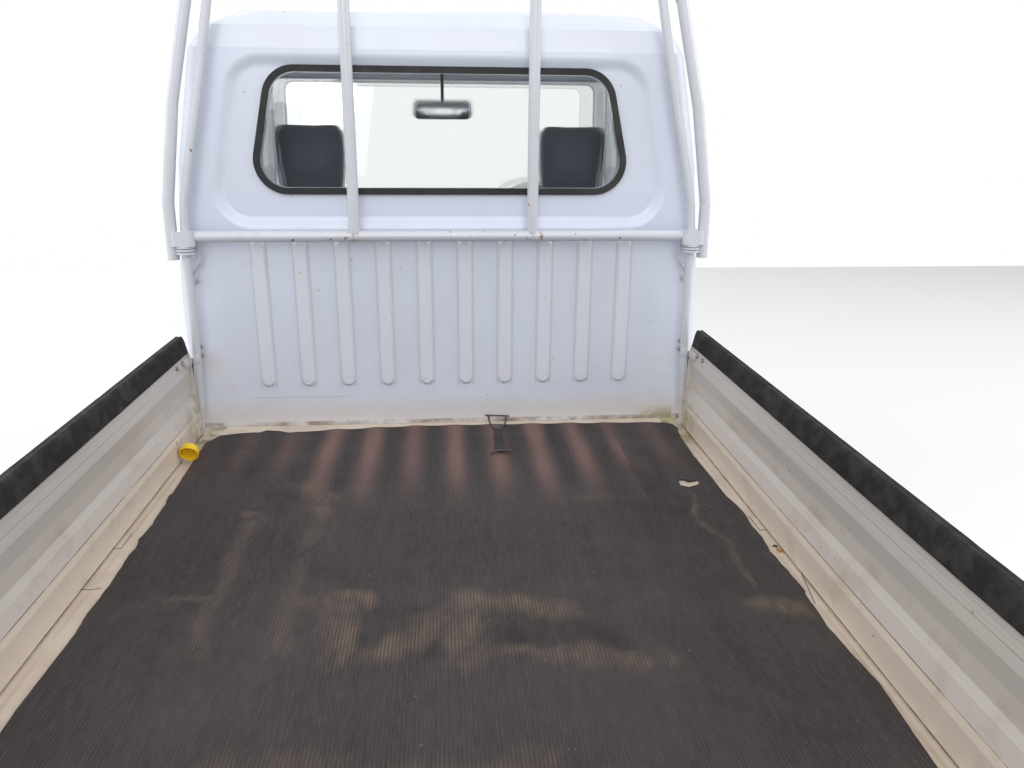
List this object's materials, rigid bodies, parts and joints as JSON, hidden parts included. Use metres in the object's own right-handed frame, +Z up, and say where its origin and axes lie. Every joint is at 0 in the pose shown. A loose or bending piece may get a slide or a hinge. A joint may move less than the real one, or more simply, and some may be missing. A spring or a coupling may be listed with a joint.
{
  "type": "kei truck",
  "caption": "Small forward-cab flat-bed truck with drop sides, tailgate, ribbed rubber bed mat and a tube guard frame behind the cab.",
  "frame": {"origin": "on the ground under the middle of the bounding box", "axes": "+X the vehicle's left, +Y its rear, +Z up"},
  "size_m": [1.74, 3.3949, 1.865],
  "materials": {
    "body_white": "gloss enamel, slightly worn",
    "inner_grey": "gloss enamel",
    "chassis_black": "satin black",
    "tube_white": "gloss enamel with rust chips",
    "window_glass": "clear",
    "black_rubber": "matt",
    "mat_rubber": "ribbed, dusty",
    "tyre_rubber": "matt",
    "wheel_silver": "satin silver",
    "seat_cloth": "woven",
    "dash_plastic": "grained",
    "black_plastic": "grained",
    "lamp_clear": "clear lens",
    "lamp_amber": "ribbed lens",
    "lamp_red": "ribbed lens",
    "bare_steel": "dull",
    "cast_metal": "rough"
  },
  "bodies": {
    "chassis": {"cab_frame": "body_white", "cab_roof": "body_white", "cab_back_panel": "body_white", "cab_front_panel": "body_white", "front_bumper": "body_white", "turn_lamps": "lamp_amber", "headlamps": "lamp_clear", "windscreen": "window_glass", "rear_window": "window_glass", "rear_window_seal": "black_rubber", "cab_floor": "inner_grey", "dashboard": "dash_plastic", "seat_cushions": "seat_cloth", "seat_backs": "seat_cloth", "cab_mirror": "black_plastic", "frame_rails": "chassis_black", "rail_members": "chassis_black", "rail_brackets": "chassis_black", "lower_arms": "chassis_black", "wheel_houses": "inner_grey", "leaf_springs": "chassis_black", "rear_axle": "cast_metal", "prop_shaft": "chassis_black", "front_suspension": "chassis_black", "front_struts": "chassis_black", "steering_rack": "cast_metal", "engine_block": "cast_metal", "exhaust": "bare_steel", "fuel_tank": "chassis_black", "spare_wheel": "tyre_rubber", "bed_floor": "body_white", "bed_beams": "body_white", "rope_hooks": "bare_steel", "bed_mat": "mat_rubber", "guard_frame": "tube_white", "tail_lamps": "lamp_red", "mud_flaps": "black_rubber"},
    "steering": {"steering_wheel": "black_plastic"},
    "knuckle_left": {"knuckle_left": "cast_metal"},
    "knuckle_right": {"knuckle_right": "cast_metal"},
    "door_left": {"door_left": "body_white", "door_glass_left": "window_glass", "door_mirror_left": "black_plastic"},
    "door_right": {"door_right": "body_white", "door_glass_right": "window_glass", "door_mirror_right": "black_plastic"},
    "side_gate_left": {"side_gate_left": "body_white", "gate_pad_left": "black_rubber"},
    "side_gate_right": {"side_gate_right": "body_white", "gate_pad_right": "black_rubber"},
    "tailgate": {"tailgate": "body_white"},
    "wheel_front_left": {"tyre_front_left": "tyre_rubber", "rim_front_left": "wheel_silver"},
    "wheel_front_right": {"tyre_front_right": "tyre_rubber", "rim_front_right": "wheel_silver"},
    "wheel_rear_left": {"tyre_rear_left": "tyre_rubber", "rim_rear_left": "wheel_silver"},
    "wheel_rear_right": {"tyre_rear_right": "tyre_rubber", "rim_rear_right": "wheel_silver"}
  },
  "joints": [
    {"name": "steer_left", "type": "hinge", "parent": "chassis", "child": "knuckle_left", "pos_m": [0.56, -1.0575, 0.271], "axis": [0, 0, 1], "range_deg": [-35, 35]},
    {"name": "steer_right", "type": "hinge", "parent": "chassis", "child": "knuckle_right", "pos_m": [-0.56, -1.0575, 0.271], "axis": [0, 0, 1], "range_deg": [-35, 35]},
    {"name": "steering_turn", "type": "hinge", "parent": "chassis", "child": "steering", "pos_m": [-0.37, -1.216, 1.145], "axis": [0, 0.7431, 0.6691], "range_deg": [-525, 525]},
    {"name": "roll_front_left", "type": "hinge", "parent": "knuckle_left", "child": "wheel_front_left", "pos_m": [0.64, -1.0575, 0.271], "axis": [1, 0, 0], "continuous": true},
    {"name": "roll_front_right", "type": "hinge", "parent": "knuckle_right", "child": "wheel_front_right", "pos_m": [-0.64, -1.0575, 0.271], "axis": [1, 0, 0], "continuous": true},
    {"name": "roll_rear_left", "type": "hinge", "parent": "chassis", "child": "wheel_rear_left", "pos_m": [0.64, 0.8425, 0.271], "axis": [1, 0, 0], "continuous": true},
    {"name": "roll_rear_right", "type": "hinge", "parent": "chassis", "child": "wheel_rear_right", "pos_m": [-0.64, 0.8425, 0.271], "axis": [1, 0, 0], "continuous": true},
    {"name": "door_left_swing", "type": "hinge", "parent": "chassis", "child": "door_left", "pos_m": [0.73, -1.49, 0.76], "axis": [0, 0, -1], "range_deg": [0, 60]},
    {"name": "door_right_swing", "type": "hinge", "parent": "chassis", "child": "door_right", "pos_m": [-0.73, -1.49, 0.76], "axis": [0, 0, 1], "range_deg": [0, 60]},
    {"name": "side_gate_left_drop", "type": "hinge", "parent": "chassis", "child": "side_gate_left", "pos_m": [0.728, 0.7, 0.655], "axis": [0, 1, 0], "range_deg": [0, 170]},
    {"name": "side_gate_right_drop", "type": "hinge", "parent": "chassis", "child": "side_gate_right", "pos_m": [-0.728, 0.7, 0.655], "axis": [0, -1, 0], "range_deg": [0, 170]},
    {"name": "tailgate_drop", "type": "hinge", "parent": "chassis", "child": "tailgate", "pos_m": [0, 1.6685, 0.655], "axis": [-1, 0, 0], "range_deg": [0, 170]}
  ],
  "couplings": [
    {"joint": "steer_right", "follows": "steer_left", "ratio": 1},
    {"joint": "steering_turn", "follows": "steer_left", "ratio": 15}
  ]
}
